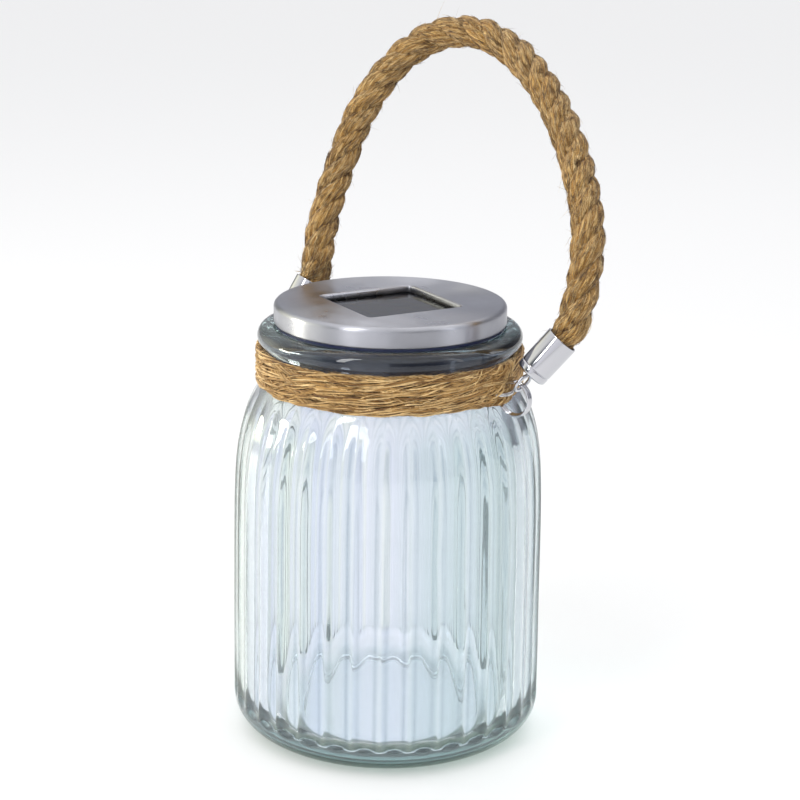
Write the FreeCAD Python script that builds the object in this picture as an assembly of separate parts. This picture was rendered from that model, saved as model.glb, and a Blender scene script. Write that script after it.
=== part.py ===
import FreeCAD, Part
import math
import os

# Solar lantern made from a fluted glass jar. A plug lid with a solar cell closes the mouth.
# Jute twine is wound round the neck over a wire hoop, and the hoop's two ears carry split rings.
# A thick rope handle hangs from the rings by two crimped ferrules.
# Frame: origin on the table under the jar's centre, +Z up, +X to the right along the handle's axis,
# which passes a little behind the jar's centre because the two rings aren't quite opposite.

V = FreeCAD.Vector
UP = V(0, 0, 1)
ALONG_X = V(1, 0, 0)
ALONG_Y = V(0, 1, 0)

# Jar
BODY_R = 55.4
BODY_TOP_R = 54.6
BODY_TOP_Z = 92.0
CORNER_R = 9.4
PUNT_H = 1.5
FLOOR_Z = 6.2
NECK_R = 43.5
MOUTH_R = 39.2
RIM_Z = 147.0
FLUTE_COUNT = 35
FLUTE_DEPTH = 0.7
FLUTE_CUTTER_R = 14.5
FLUTE_LOW_Z = 14.0
FLUTE_FIRST = 5.05

# Neck binding
TWINE_D = 3.5
TWINE_TURNS = 4
TWINE_PITCH = 3.4
TWINE_LOW_Z = 128.2
TWINE_MID_R = 45.0
HOOP_R = 44.2
HOOP_Z = 130.0
HOOP_WIRE_R = 0.65
EAR_REACH = 49.6
EAR_HALF = 2.9
EAR_ANGLE = 7.0

# Rings and handle, drawn upright about the pivot and then leaned back
PIVOT_Y = 4.75
PIVOT_Z = 134.0
LEAN = 28.0
RING_R = 5.8
RING_WIRE_R = 0.6
RING_COIL_STEP = 0.58
RING_SLOPE = 67.0
SIDES = {
    "right": {"around": 5.05, "reach": 54.0, "tilt": 30.0, "eye_drop": 0.8},
    "left": {"around": 175.13, "reach": 56.0, "tilt": 13.8, "eye_drop": 0.6},
}
EYE_R = 3.4
EYE_WIRE_R = 0.7
FERRULE_START = 4.7
FERRULE_LEN = 16.0
FERRULE_R = 5.75
FERRULE_WALL = 0.55
FERRULE_BASE = 1.4
ROPE_D = 12.0
ROPE_PLUG_R = 5.05
ROPE_PLUG_LEN = 12.0
ROPE_ROUTE = [
    (-50.85, 20.15),
    (-49.67, 24.96),
    (-53.1, 35.5),
    (-55.2, 48.0),
    (-55.8, 64.0),
    (-55.6, 80.0),
    (-52.5, 95.5),
    (-44.8, 110.0),
    (-32.5, 120.3),
    (-16.5, 123.3),
    (0.0, 119.8),
    (16.5, 110.2),
    (31.0, 98.0),
    (44.2, 83.0),
    (55.5, 66.5),
    (62.6, 51.0),
    (65.6, 36.5),
    (66.54, 22.08),
    (64.17, 17.97),
]

# Lid
CAP_R = 40.6
CAP_SHEET = 0.6
CAP_LOW_Z = 148.0
CAP_TOP_Z = 155.0
CAP_EDGE_R = 1.8
WINDOW = 36.6
WINDOW_WALL_LOW_Z = 152.6
LID_TURN = -20.15
TRAY_R = 39.7
TRAY_LOW_Z = 149.4
TRAY_T = 1.4
CELL_SIDE = 38.4
CELL_T = 1.4
RESIN_T = 0.35
PLUG_R = 37.6
PLUG_WALL = 1.6
PLATE_LOW_Z = 129.0
PLATE_T = 1.6
SEAL_Z = 142.0
SEAL_R = 38.9
BOSS_RING_R = 31.0
BOSS_R = 3.0
BOSS_ANGLES = (90, 210, 330)
BOARD = (34.0, 20.0, 1.2)
BOARD_CENTRE = (0.0, -11.0)
BOARD_Z = 133.5
LED_X = 0.0
LED_Y = -5.0
LED_R = 2.5
LED_TIP_Z = 124.0
BATTERY_R = 5.25
BATTERY_LEN = 44.5
BATTERY_X = -21.5
BATTERY_Y = 10.0
BATTERY_Z = 136.6
DOOR_X = -23.0
DOOR_LEN = 47.0
DOOR_HALF = 7.6
DOOR_LOW_Z = 127.5
DOOR_T = 1.2
SWITCH_X = 8.0
SWITCH_Y = -14.0
SWITCH_TRAVEL = 2.5
LEAD_R = 0.55

GAP = 0.3


def export(name, shape):
    solids = shape.Solids
    assert solids and shape.isValid(), name
    print("%-18s solids %2d volume %10.1f mm3" % (name, len(solids), shape.Volume))
    if len(solids) == 1:
        shape = solids[0]
    shape.exportStep("parts/%s.step" % name)


def box(low, high):
    size = V(*high) - V(*low)
    return Part.makeBox(size.x, size.y, size.z, V(*low))


def rod(radius, start, end):
    axis = V(*end) - V(*start)
    return Part.makeCylinder(radius, axis.Length, V(*start), axis)


def revolved(start, steps):
    """Turns a closed outline of (radius, height) points about Z. A step of four numbers is an arc."""
    edges = []
    at = V(start[0], 0, start[1])
    for step in steps:
        end = V(step[-2], 0, step[-1])
        if len(step) == 4:
            edges.append(Part.Arc(at, V(step[0], 0, step[1]), end).toShape())
        else:
            edges.append(Part.LineSegment(at, end).toShape())
        at = end
    first = V(start[0], 0, start[1])
    if (at - first).Length > 1e-6:
        edges.append(Part.LineSegment(at, first).toShape())
    return Part.Face(Part.Wire(edges)).revolve(V(0, 0, 0), UP, 360)


def tube(points, radius, report=None):
    """A round tube on straight runs joined by tangent arcs, each arc as large as its two runs allow."""
    points = [V(*p) for p in points]
    edges = []
    radii = []
    at = points[0]
    for before, corner, after in zip(points, points[1:], points[2:]):
        back = (before - corner).normalize()
        on = (after - corner).normalize()
        turn = math.pi - back.getAngle(on)
        reach = 0.45 * min((before - corner).Length, (after - corner).Length)
        bend_r = reach / math.tan(turn / 2)
        radii.append(bend_r)
        inner = (back + on).normalize()
        middle = corner + inner * (bend_r / math.cos(turn / 2) - bend_r)
        start = corner + back * reach
        end = corner + on * reach
        edges.append(Part.LineSegment(at, start).toShape())
        edges.append(Part.Arc(start, middle, end).toShape())
        at = end
    edges.append(Part.LineSegment(at, points[-1]).toShape())
    path = Part.Wire(edges)
    section = Part.Wire(Part.Circle(points[0], points[1] - points[0], radius).toShape())
    solid = path.makePipeShell([section], True, False)
    if report:
        ideal = math.pi * radius**2 * path.Length
        print(report, "length %.1f mm, volume / (section x length) %.4f" % (path.Length, solid.Volume / ideal))
        print(report, "bend radii mm:", ", ".join("%.0f" % r for r in radii))
    return solid


def fused(shapes):
    whole = shapes[0]
    for shape in shapes[1:]:
        whole = whole.fuse(shape)
    return whole.removeSplitter()


def leaned(shape):
    """Moves a piece drawn upright about the origin to the pivot, leaned back towards +Y."""
    shape = shape.copy()
    shape.rotate(V(0, 0, 0), ALONG_X, -LEAN)
    shape.translate(V(0, PIVOT_Y, PIVOT_Z))
    return shape


def carried(shape, side):
    """Carries a neck piece, drawn beside the jar at +X, round to one of the two rings."""
    shape = shape.copy()
    shape.rotate(V(0, 0, 0), UP, side["around"])
    return shape


def turned(shape):
    """Turns a lid piece to the direction in which the window's sides lie."""
    shape = shape.copy()
    shape.rotate(V(0, 0, 0), UP, LID_TURN)
    return shape


# ---------------------------------------------------------------- jar


def glass_jar():
    corner_mid = CORNER_R * math.sqrt(0.5)
    corner_x = BODY_R - CORNER_R
    shell = revolved(
        (0, PUNT_H),
        [
            (36.0, PUNT_H),
            (38.3, 1.05, 40.0, 0.0),
            (corner_x, 0.0),
            (corner_x + corner_mid, CORNER_R - corner_mid, BODY_R, CORNER_R),
            (BODY_TOP_R, BODY_TOP_Z),
            (52.4, 111.6, 46.8, 124.4),
            (44.4, 126.6, NECK_R, 129.6),
            (NECK_R, 139.6),
            (46.3, 142.9, 44.7, 146.0),
            (43.3, 146.8, 41.6, RIM_Z),
            (40.4, RIM_Z),
            (39.55, 146.65, MOUTH_R, 145.8),
            (MOUTH_R, 128.6),
            (40.5, 124.6, 43.2, 122.0),
            (48.9, 111.2, 51.3, BODY_TOP_Z),
            (52.1, 15.0),
            (49.7, 8.9, 43.8, FLOOR_Z),
            (0, FLOOR_Z),
        ],
    )
    axis_r = (BODY_R + BODY_TOP_R) / 2 - FLUTE_DEPTH + FLUTE_CUTTER_R
    cutters = []
    for i in range(FLUTE_COUNT):
        angle = math.radians(FLUTE_FIRST + 360 * i / FLUTE_COUNT)
        low = V(axis_r * math.cos(angle), axis_r * math.sin(angle), FLUTE_LOW_Z)
        channel = Part.makeCylinder(FLUTE_CUTTER_R, RIM_Z - FLUTE_LOW_Z, low)
        round_end = Part.makeSphere(FLUTE_CUTTER_R, low)
        cutters.append(channel.fuse(round_end))
    return shell.cut(Part.makeCompound(cutters))


def neck_wire(wire_r):
    """The hoop with its two ears. A larger wire_r gives the room that it needs in the twine."""
    step = math.radians(EAR_ANGLE)
    ends = [(HOOP_R * math.cos(step), y * HOOP_R * math.sin(step), HOOP_Z) for y in (1, -1)]
    corners = [(EAR_REACH, y * EAR_HALF, HOOP_Z) for y in (1, -1)]
    ear = [tube([ends[0], corners[0], corners[1], ends[1]], wire_r)]
    ear += [Part.makeSphere(wire_r, V(*end)) for end in ends]
    pieces = [carried(piece, side) for side in SIDES.values() for piece in ear]
    right = SIDES["right"]["around"]
    left = SIDES["left"]["around"]
    for start, end in ((right, left), (left, right + 360)):
        span = end - start - 2 * EAR_ANGLE
        arc = Part.makeTorus(HOOP_R, wire_r, V(0, 0, HOOP_Z), UP, 0, 360, span)
        arc.rotate(V(0, 0, 0), UP, start + EAR_ANGLE)
        pieces.append(arc)
    return fused(pieces)


def ring_turn(side, y, wire_r):
    """One turn of a split ring, y to one side of the ring's middle plane."""
    slope = math.radians(RING_SLOPE)
    centre = V(side["reach"] - RING_R * math.cos(slope), y, PIVOT_Z - RING_R * math.sin(slope))
    return carried(Part.makeTorus(RING_R, wire_r, centre, ALONG_Y), side)


def split_ring(side):
    """A key ring of two turns of wire that lie side by side."""
    return fused([ring_turn(side, y, RING_WIRE_R) for y in (-RING_COIL_STEP, RING_COIL_STEP)])


def neck_twine():
    """Four turns of twine, side by side and pressed together, with room for the wire and the rings."""
    lobe = TWINE_D / 2
    cusp_r = TWINE_MID_R + math.sqrt(lobe**2 - (TWINE_PITCH / 2) ** 2)
    inner_r = NECK_R + 0.1
    low = TWINE_LOW_Z - TWINE_PITCH / 2
    top = low + TWINE_TURNS * TWINE_PITCH
    steps = [(cusp_r, low)]
    for i in range(TWINE_TURNS):
        middle = TWINE_LOW_Z + i * TWINE_PITCH
        steps.append((TWINE_MID_R + lobe, middle, cusp_r, middle + TWINE_PITCH / 2))
    steps += [(inner_r + 1.5, top), (inner_r, top - 1.5), (inner_r, low + 3.1)]
    band = revolved((inner_r + 1.1, low), steps)
    band = band.cut(neck_wire(HOOP_WIRE_R + 0.1))
    channel_r = RING_WIRE_R + RING_COIL_STEP + 0.1
    for side in SIDES.values():
        band = band.cut(ring_turn(side, 0, channel_r))
    return max(band.Solids, key=lambda solid: solid.Volume)


# ---------------------------------------------------------------- handle


def ferrule_axis(side):
    angle = math.radians(side["tilt"])
    return V(math.sin(angle), 0, math.cos(angle))


def eye_point(side):
    return V(side["reach"] * math.cos(math.radians(side["around"])), 0, 0)


def ferrule(side):
    """A crimped metal cup with a rolled foot. The rope's end is glued inside it."""
    axis = ferrule_axis(side)
    foot = eye_point(side) + axis * FERRULE_START
    cup = Part.makeCylinder(FERRULE_R, FERRULE_LEN, foot, axis)
    bore_start = foot + axis * FERRULE_BASE
    bore = Part.makeCylinder(FERRULE_R - FERRULE_WALL, FERRULE_LEN, bore_start, axis)
    shank_hole = Part.makeCylinder(EYE_WIRE_R + 0.15, FERRULE_LEN, foot - axis, axis)
    groove_at = foot + axis * (2 * FERRULE_BASE)
    groove = Part.makeTorus(FERRULE_R + 0.25, 0.5, groove_at, axis)
    return leaned(cup.cut(bore).cut(shank_hole).cut(groove))


def ferrule_eye(side):
    """A wire loop whose riveted shank passes through the ferrule's foot."""
    axis = ferrule_axis(side)
    centre = eye_point(side) + axis * side["eye_drop"]
    loop = Part.makeTorus(EYE_R, EYE_WIRE_R, centre, axis.cross(ALONG_Y))
    foot = eye_point(side) + axis * FERRULE_START
    inside = foot + axis * FERRULE_BASE
    shank_from = centre + axis * EYE_R
    shank = Part.makeCylinder(EYE_WIRE_R, (inside - shank_from).Length + 0.6, shank_from, axis)
    head = Part.makeCylinder(2.0, 0.8, inside, axis)
    return leaned(fused([loop, shank, head]))


def rope_handle():
    """The rope's outer shape, with its two slimmer ends inside the ferrules."""
    route = [(p, 0, q) for p, q in ROPE_ROUTE]
    pieces = [tube(route, ROPE_D / 2, "rope_handle")]
    for side in SIDES.values():
        axis = ferrule_axis(side)
        mouth = eye_point(side) + axis * (FERRULE_START + FERRULE_LEN)
        pieces.append(Part.makeCylinder(ROPE_PLUG_R, ROPE_PLUG_LEN + 0.5, mouth - axis * ROPE_PLUG_LEN, axis))
        print("rope mouth", [round(c, 2) for c in mouth])
    return leaned(fused(pieces))


# ---------------------------------------------------------------- lid


def lid_cap():
    """Pressed steel cap: a round top with rolled edge, and a square window with its walls turned down."""
    outer_mid = CAP_EDGE_R * math.sqrt(0.5)
    inner_r = CAP_R - CAP_SHEET
    roll_x = CAP_R - CAP_EDGE_R
    roll_z = CAP_TOP_Z - CAP_EDGE_R
    inner_mid = (CAP_EDGE_R - CAP_SHEET) * math.sqrt(0.5)
    shell = revolved(
        (0, CAP_TOP_Z),
        [
            (roll_x, CAP_TOP_Z),
            (roll_x + outer_mid, roll_z + outer_mid, CAP_R, roll_z),
            (CAP_R, CAP_LOW_Z),
            (inner_r, CAP_LOW_Z),
            (inner_r, roll_z),
            (roll_x + inner_mid, roll_z + inner_mid, roll_x, CAP_TOP_Z - CAP_SHEET),
            (0, CAP_TOP_Z - CAP_SHEET),
        ],
    )
    outer = WINDOW / 2 + CAP_SHEET
    inner = WINDOW / 2
    walls = box((-outer, -outer, WINDOW_WALL_LOW_Z), (outer, outer, CAP_TOP_Z))
    hole = box((-inner, -inner, WINDOW_WALL_LOW_Z - 1), (inner, inner, CAP_TOP_Z + 1))
    return turned(shell.fuse(walls).cut(hole).removeSplitter())


def boss_places():
    for angle in BOSS_ANGLES:
        turn = math.radians(angle)
        yield BOSS_RING_R * math.cos(turn), BOSS_RING_R * math.sin(turn)


def cell_tray():
    top = TRAY_LOW_Z + TRAY_T
    tray = rod(TRAY_R, (0, 0, TRAY_LOW_Z), (0, 0, top))
    tray = tray.cut(rod(4.0, (0, -3, TRAY_LOW_Z - 1), (0, -3, top + 1)))
    for x, y in boss_places():
        tray = tray.cut(rod(1.3, (x, y, TRAY_LOW_Z - 1), (x, y, top + 1)))
    return turned(tray)


def square_slab(side, low_z, thick):
    half = side / 2
    return turned(box((-half, -half, low_z), (half, half, low_z + thick)))


def tray_screws():
    top = TRAY_LOW_Z + TRAY_T
    screws = []
    for x, y in boss_places():
        shank = rod(1.0, (x, y, top - 9), (x, y, top + 0.2))
        head = rod(2.4, (x, y, top), (x, y, top + 1.4))
        cross = box((x - 1.4, y - 0.3, top + 0.8), (x + 1.4, y + 0.3, top + 2))
        cross_turned = cross.copy()
        cross_turned.rotate(V(x, y, 0), UP, 90)
        screws.append(turned(shank.fuse(head).cut(cross).cut(cross_turned)))
    return Part.makeCompound(screws)


def door_rails():
    rails = []
    for side in (1, -1):
        near = BATTERY_Y + side * (DOOR_HALF + GAP)
        far = near + side * 1.2
        lip = near - side * 1.2
        low = DOOR_LOW_Z - GAP - 0.7
        ys = sorted((near, far))
        lips = sorted((lip, far))
        rails.append(box((-16, ys[0], low), (16, ys[1], PLATE_LOW_Z + 0.2)))
        rails.append(box((-16, lips[0], low), (16, lips[1], DOOR_LOW_Z - GAP)))
    return rails


def lid_housing():
    """The plastic plug: a lip that lies on the jar's rim, a wall with a groove for the seal, and a floor."""
    lip_low = RIM_Z + 0.1
    inner_r = PLUG_R - PLUG_WALL
    plate_top = PLATE_LOW_Z + PLATE_T
    shell = revolved(
        (0, PLATE_LOW_Z),
        [
            (PLUG_R - 1.2, PLATE_LOW_Z),
            (PLUG_R, PLATE_LOW_Z + 1.2),
            (PLUG_R, SEAL_Z - 2.0),
            (PLUG_R - 0.7, SEAL_Z - 2.0),
            (PLUG_R - 0.7, SEAL_Z + 2.0),
            (PLUG_R, SEAL_Z + 2.0),
            (PLUG_R, lip_low),
            (CAP_R - 0.5, lip_low),
            (CAP_R - 0.5, CAP_LOW_Z - 0.1),
            (TRAY_R, CAP_LOW_Z - 0.1),
            (TRAY_R, TRAY_LOW_Z),
            (inner_r, TRAY_LOW_Z),
            (inner_r, plate_top),
            (0, plate_top),
        ],
    )
    pieces = [shell] + door_rails()
    for x, y in boss_places():
        pieces.append(rod(BOSS_R, (x, y, PLATE_LOW_Z + 0.5), (x, y, TRAY_LOW_Z)))
    for x in (-15, 15):
        pieces.append(rod(1.8, (x, -18, PLATE_LOW_Z + 0.5), (x, -18, BOARD_Z)))
    for low_x in (-27.6, 24.8):
        pieces.append(box((low_x, 4, PLATE_LOW_Z + 0.5), (low_x + 1.2, 16, 141)))
    whole = fused(pieces)
    for x, y in boss_places():
        whole = whole.cut(rod(1.05, (x, y, 140), (x, y, TRAY_LOW_Z + 1)))
    openings = [
        rod(LED_R + 0.1, (LED_X, LED_Y, PLATE_LOW_Z - 1), (LED_X, LED_Y, plate_top + 1)),
        box((-20.5, BATTERY_Y - 5.6, PLATE_LOW_Z - 1), (22, BATTERY_Y + 5.6, plate_top + 1)),
        box(
            (SWITCH_X - 1.8, SWITCH_Y - 1.4, PLATE_LOW_Z - 1),
            (SWITCH_X + 1.8 + SWITCH_TRAVEL, SWITCH_Y + 1.4, plate_top + 1),
        ),
    ]
    return turned(whole.cut(Part.makeCompound(openings)))


def lid_seal():
    """A soft ring in the plug's groove, with two thin lips that grip the mouth."""
    root_r = PLUG_R - 0.65
    body_r = PLUG_R + 0.1
    return revolved(
        (root_r, SEAL_Z - 1.9),
        [
            (body_r, SEAL_Z - 1.9),
            (SEAL_R, SEAL_Z - 1.1),
            (SEAL_R, SEAL_Z - 0.7),
            (body_r, SEAL_Z - 0.3),
            (body_r, SEAL_Z + 0.3),
            (SEAL_R, SEAL_Z + 1.1),
            (SEAL_R, SEAL_Z + 1.5),
            (body_r, SEAL_Z + 1.9),
            (root_r, SEAL_Z + 1.9),
        ],
    )


# ---------------------------------------------------------------- electrics


def circuit_board():
    half_x = BOARD[0] / 2
    half_y = BOARD[1] / 2
    x, y = BOARD_CENTRE
    return turned(box((x - half_x, y - half_y, BOARD_Z), (x + half_x, y + half_y, BOARD_Z + BOARD[2])))


def led_lamp():
    flange = rod(LED_R + 0.5, (LED_X, LED_Y, 130.7), (LED_X, LED_Y, 131.6))
    body = rod(LED_R, (LED_X, LED_Y, LED_TIP_Z + LED_R), (LED_X, LED_Y, 131.0))
    dome = Part.makeSphere(LED_R, V(LED_X, LED_Y, LED_TIP_Z + LED_R))
    legs = [rod(0.3, (LED_X + x, LED_Y, 131.4), (LED_X + x, LED_Y, BOARD_Z)) for x in (-1.27, 1.27)]
    return turned(fused([body, flange, dome] + legs))


def battery_cell():
    end_x = BATTERY_X + BATTERY_LEN
    can = rod(BATTERY_R, (BATTERY_X, BATTERY_Y, BATTERY_Z), (end_x, BATTERY_Y, BATTERY_Z))
    edges = [e for e in can.Edges if isinstance(e.Curve, Part.Circle)]
    can = can.makeFillet(0.5, edges)
    button = rod(1.9, (end_x - 0.5, BATTERY_Y, BATTERY_Z), (end_x + 0.8, BATTERY_Y, BATTERY_Z))
    return turned(can.fuse(button))


def strip(outline, low_y, high_y):
    """A folded metal strip: an outline of (x, z) points, as wide as low_y to high_y."""
    points = [V(x, low_y, z) for x, z in outline]
    face = Part.Face(Part.makePolygon(points + points[:1]))
    return turned(face.extrude(V(0, high_y - low_y, 0)))


def contact_positive():
    x = BATTERY_X + BATTERY_LEN + 0.85
    return strip([(x, 132), (x + 0.4, 132), (x + 0.4, 141.8), (x, 141.8)], BATTERY_Y - 4, BATTERY_Y + 4)


def contact_negative():
    """A leaf that is folded into a V, and pushes the cell against the other contact."""
    back = -26.35
    tip = BATTERY_X - 0.05
    leaf = [
        (back, 132),
        (back + 0.4, 132),
        (back + 0.4, 139.5),
        (tip - 0.4, 137),
        (back + 1.2, 133.5),
        (back + 1.2, 133),
        (tip, 137),
        (back + 0.4, 140.6),
        (back + 0.4, 141.8),
        (back, 141.8),
    ]
    return strip(leaf, BATTERY_Y - 3, BATTERY_Y + 3)


def battery_door():
    """A flat door that slides in two rails, with a raised grip for a fingertip."""
    low_y = BATTERY_Y - DOOR_HALF
    high_y = BATTERY_Y + DOOR_HALF
    end_x = DOOR_X + DOOR_LEN
    door = box((DOOR_X, low_y, DOOR_LOW_Z), (end_x, high_y, DOOR_LOW_Z + DOOR_T))
    for i in range(4):
        x = DOOR_X + 2.0 + 1.6 * i
        door = door.fuse(box((x, BATTERY_Y - 4, DOOR_LOW_Z - 0.6), (x + 0.8, BATTERY_Y + 4, DOOR_LOW_Z + 0.1)))
    return turned(door.removeSplitter())


def switch_body():
    low = PLATE_LOW_Z + PLATE_T + 0.1
    middle_x = SWITCH_X + SWITCH_TRAVEL / 2
    return turned(box((middle_x - 4.5, SWITCH_Y - 2.3, low), (middle_x + 4.5, SWITCH_Y + 2.3, BOARD_Z)))


def switch_knob():
    top = PLATE_LOW_Z + PLATE_T - 0.05
    knob = box((SWITCH_X - 1.5, SWITCH_Y - 1.1, 127.6), (SWITCH_X + 1.5, SWITCH_Y + 1.1, top))
    for x in (-0.75, 0.25):
        knob = knob.cut(box((SWITCH_X + x, SWITCH_Y - 2, 127), (SWITCH_X + x + 0.5, SWITCH_Y + 2, 128)))
    return turned(knob)


def driver_chip():
    top = BOARD_Z + BOARD[2]
    return turned(box((-2.5, -17, top), (2.5, -13, top + 1.5)))


def choke_coil():
    top = BOARD_Z + BOARD[2]
    waist = rod(1.7, (11, -16, top), (11, -16, top + 4))
    ends = [rod(2.3, (11, -16, top + z), (11, -16, top + z + 0.8)) for z in (0, 3.4)]
    return turned(fused([waist] + ends))


def lead(points):
    return turned(tube(points, LEAD_R))


cell_low_z = TRAY_LOW_Z + TRAY_T
board_top = BOARD_Z + BOARD[2]
LEADS = {
    "cell_lead_pos": [(1.5, -3, cell_low_z), (1.5, -3, 145), (6, -8, 140), (6, -8, board_top)],
    "cell_lead_neg": [(-1.5, -3, cell_low_z), (-1.5, -3, 145), (-6, -8, 140), (-6, -8, board_top)],
    "battery_lead_pos": [(24.2, 10, 141.8), (24.2, 10, 145), (14, -3, 142), (14, -6, 139), (14, -6, board_top)],
    "battery_lead_neg": [(-26.2, 10, 141.8), (-26.2, 10, 145), (-14, -3, 142), (-14, -6, 139), (-14, -6, board_top)],
}

export("glass_jar", glass_jar())
export("neck_wire", neck_wire(HOOP_WIRE_R))
export("neck_twine", neck_twine())
for name, side in SIDES.items():
    export("split_ring_" + name, split_ring(side))
    export("ferrule_" + name, ferrule(side))
    export("ferrule_eye_" + name, ferrule_eye(side))
export("rope_handle", rope_handle())
export("lid_cap", lid_cap())
export("cell_tray", cell_tray())
export("solar_cell", square_slab(CELL_SIDE, cell_low_z, CELL_T))
export("cell_resin", square_slab(CELL_SIDE, cell_low_z + CELL_T, RESIN_T))
export("tray_screws", tray_screws())
export("lid_housing", lid_housing())
export("lid_seal", lid_seal())
export("circuit_board", circuit_board())
export("driver_chip", driver_chip())
export("choke_coil", choke_coil())
export("led_lamp", led_lamp())
export("battery_cell", battery_cell())
export("contact_positive", contact_positive())
export("contact_negative", contact_negative())
export("battery_door", battery_door())
export("switch_body", switch_body())
export("switch_knob", switch_knob())
for name, points in LEADS.items():
    export(name, lead(points))
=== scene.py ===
import math

import bpy
import numpy as np
from mathutils import Matrix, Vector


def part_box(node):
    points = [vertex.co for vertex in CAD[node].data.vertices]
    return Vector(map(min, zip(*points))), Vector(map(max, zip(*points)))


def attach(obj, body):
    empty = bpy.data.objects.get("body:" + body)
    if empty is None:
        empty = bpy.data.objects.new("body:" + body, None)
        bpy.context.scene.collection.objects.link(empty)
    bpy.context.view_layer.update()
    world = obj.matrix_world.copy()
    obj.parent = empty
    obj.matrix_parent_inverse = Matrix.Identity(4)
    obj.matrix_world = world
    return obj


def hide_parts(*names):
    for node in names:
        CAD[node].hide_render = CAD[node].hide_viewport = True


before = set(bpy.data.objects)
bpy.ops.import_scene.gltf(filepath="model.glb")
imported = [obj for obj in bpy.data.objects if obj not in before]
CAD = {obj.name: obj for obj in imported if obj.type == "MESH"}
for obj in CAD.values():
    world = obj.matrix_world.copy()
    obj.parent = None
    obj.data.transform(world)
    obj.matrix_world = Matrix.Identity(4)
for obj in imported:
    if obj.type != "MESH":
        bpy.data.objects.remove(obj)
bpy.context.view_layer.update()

# Looks of the solar jar lantern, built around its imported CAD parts.
# Lengths are millimetres, and the mesh makers turn them into metres. The camera, the rope's route, the floor,
# the lights and textures in object space are in metres.
# The jar stands on the floor with +Z up. +X points right, along the axis that the handle swings about.

MM = 0.001


def cad_mm(node):
    """Lowest and highest corner of a CAD node, in millimetres."""
    low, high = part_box(node)
    return np.array(low) / MM, np.array(high) / MM


# ---------- camera

# The view that matches the photograph: place in metres, angles in degrees, lens in millimetres.
CAMERA_AT = (0.4263, -0.5013, 0.309)
CAMERA_TURN = 40.05
CAMERA_DOWN = 16.1
CAMERA_ROLL = 0.8
CAMERA_LENS = 87.4
# The direction about Z, in radians, in which the jar faces the camera.
CAMERA_SIDE = math.radians(CAMERA_TURN - 90)


def add_object(name, data):
    """A new object in the scene."""
    made = bpy.data.objects.new(name, data)
    bpy.context.scene.collection.objects.link(made)
    return made


def make_camera():
    data = bpy.data.cameras.new("camera")
    data.lens = CAMERA_LENS
    data.clip_start = 0.01
    camera = add_object("camera", data)
    camera.matrix_world = (
        Matrix.Translation(CAMERA_AT)
        @ Matrix.Rotation(math.radians(CAMERA_TURN), 4, "Z")
        @ Matrix.Rotation(math.radians(90 - CAMERA_DOWN), 4, "X")
        @ Matrix.Rotation(math.radians(CAMERA_ROLL), 4, "Z")
    )
    bpy.context.scene.camera = camera


make_camera()

# ---------- vectors and noise


def unit(vectors):
    return vectors / np.linalg.norm(vectors, axis=-1, keepdims=True)


def polar(radius, angle, z):
    """Points at a radius and an angle about Z."""
    return np.stack(np.broadcast_arrays(radius * np.cos(angle), radius * np.sin(angle), z), axis=-1)


def spokes(corners, first, second):
    """Directions all the way round, from first towards second."""
    angle = 2 * np.pi * np.arange(corners) / corners
    return np.cos(angle)[:, None] * first + np.sin(angle)[:, None] * second


def smoothstep(low, high, value):
    t = np.clip((value - low) / (high - low), 0, 1)
    return t * t * (3 - 2 * t)


NOISE_CELLS = 256


def noise_1d(x, seed):
    """Smooth noise from -1 to 1 that changes over one unit of x."""
    table = np.random.default_rng(seed).uniform(-1, 1, NOISE_CELLS)
    cell = np.floor(x).astype(int)
    blend = smoothstep(0, 1, x - cell)
    return table[cell % NOISE_CELLS] * (1 - blend) + table[(cell + 1) % NOISE_CELLS] * blend


def noise_2d(x, y, seed, wrap_x=NOISE_CELLS):
    """Smooth noise from -1 to 1. It repeats in x after wrap_x units."""
    table = np.random.default_rng(seed).uniform(-1, 1, (NOISE_CELLS, NOISE_CELLS))
    ix = np.floor(x).astype(int)
    iy = np.floor(y).astype(int)
    bx = smoothstep(0, 1, x - ix)
    by = smoothstep(0, 1, y - iy)
    x0, x1 = ix % wrap_x, (ix + 1) % wrap_x
    y0, y1 = iy % NOISE_CELLS, (iy + 1) % NOISE_CELLS
    low = table[x0, y0] * (1 - bx) + table[x1, y0] * bx
    high = table[x0, y1] * (1 - bx) + table[x1, y1] * bx
    return low * (1 - by) + high * by


def catmull(points, steps):
    """A smooth open line through the points, with that many steps between two of them."""
    points = np.array(points, float)
    ends = np.vstack([2 * points[0] - points[1], points, 2 * points[-1] - points[-2]])
    line = []
    for p0, p1, p2, p3 in zip(ends, ends[1:], ends[2:], ends[3:]):
        k1 = max(np.linalg.norm(p1 - p0), 1e-6) ** 0.5
        k2 = max(np.linalg.norm(p2 - p1), 1e-6) ** 0.5
        k3 = max(np.linalg.norm(p3 - p2), 1e-6) ** 0.5
        m1 = (p2 - p1) + k2 * ((p1 - p0) / k1 - (p2 - p0) / (k1 + k2))
        m2 = (p2 - p1) + k2 * ((p3 - p2) / k3 - (p3 - p1) / (k2 + k3))
        for t in np.arange(steps) / steps:
            line.append(
                (2 * t**3 - 3 * t**2 + 1) * p1
                + (t**3 - 2 * t**2 + t) * m1
                + (3 * t**2 - 2 * t**3) * p2
                + (t**3 - t**2) * m2
            )
    line.append(points[-1])
    return np.array(line)


# ---------- meshes


def link_mesh(name, points, faces):
    """A new smooth mesh, from points in millimetres."""
    mesh = bpy.data.meshes.new(name)
    mesh.from_pydata((points.reshape(-1, 3) * MM).tolist(), [], faces)
    mesh.shade_smooth()
    return add_object(name, mesh)


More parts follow.
